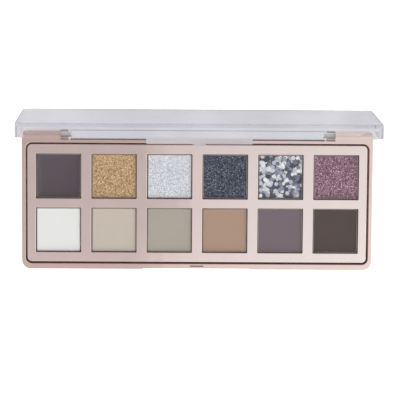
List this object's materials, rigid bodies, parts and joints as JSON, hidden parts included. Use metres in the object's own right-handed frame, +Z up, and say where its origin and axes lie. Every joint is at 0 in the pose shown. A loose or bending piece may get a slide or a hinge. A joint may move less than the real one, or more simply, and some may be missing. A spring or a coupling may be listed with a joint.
{
  "type": "eyeshadow palette",
  "caption": "Slim eyeshadow palette: shallow rose-metallised case, square pans of pressed powder in a glossy frame, and a clear lid on a pin hinge, standing open.",
  "frame": {"origin": "centre of the flat underside of the case base", "axes": "+X to the user's right, +Y to the back where the hinge is, +Z up; the front faces -Y"},
  "size_m": [0.151, 0.0689, 0.0615],
  "materials": {
    "case_metallised": "moulded plastic, metallised pale rose gold, glossy",
    "frame_metallised": "moulded plastic, metallised pale grey-rose, glossy",
    "lid_clear": "clear moulded plastic, polished",
    "pin_steel": "drawn steel wire",
    "pan_tin": "thin tin plate",
    "glue": "set adhesive",
    "powder_plum": "satin pressed powder",
    "powder_gold": "glittery pressed powder",
    "powder_silver": "glittery pressed powder",
    "powder_slate": "glittery pressed powder",
    "powder_confetti": "pressed flakes in a clear binder",
    "powder_mauve": "glittery pressed powder",
    "powder_white": "matte pressed powder",
    "powder_beige": "matte pressed powder",
    "powder_sage": "matte pressed powder",
    "powder_tan": "matte pressed powder",
    "powder_heather": "matte pressed powder",
    "powder_espresso": "matte pressed powder"
  },
  "bodies": {
    "case": {"base_shell": "case_metallised", "pan_tray": "frame_metallised", "hinge_pin_left": "pin_steel", "hinge_pin_right": "pin_steel", "pan_glue_dots": "glue", "tray_adhesive_strips": "glue", "pan_plum": "pan_tin", "powder_plum": "powder_plum", "pan_gold": "pan_tin", "powder_gold": "powder_gold", "pan_silver": "pan_tin", "powder_silver": "powder_silver", "pan_slate": "pan_tin", "powder_slate": "powder_slate", "pan_confetti": "pan_tin", "powder_confetti": "powder_confetti", "pan_mauve": "pan_tin", "powder_mauve": "powder_mauve", "pan_white": "pan_tin", "powder_white": "powder_white", "pan_beige": "pan_tin", "powder_beige": "powder_beige", "pan_sage": "pan_tin", "powder_sage": "powder_sage", "pan_tan": "pan_tin", "powder_tan": "powder_tan", "pan_heather": "pan_tin", "powder_heather": "powder_heather", "pan_espresso": "pan_tin", "powder_espresso": "powder_espresso"},
    "lid": {"lid": "lid_clear"}
  },
  "joints": [
    {"name": "lid_hinge", "type": "hinge", "parent": "case", "child": "lid", "pos_m": [0, 0.0281, 0.00335], "axis": [1, 0, 0], "range_deg": [0, 90]}
  ]
}
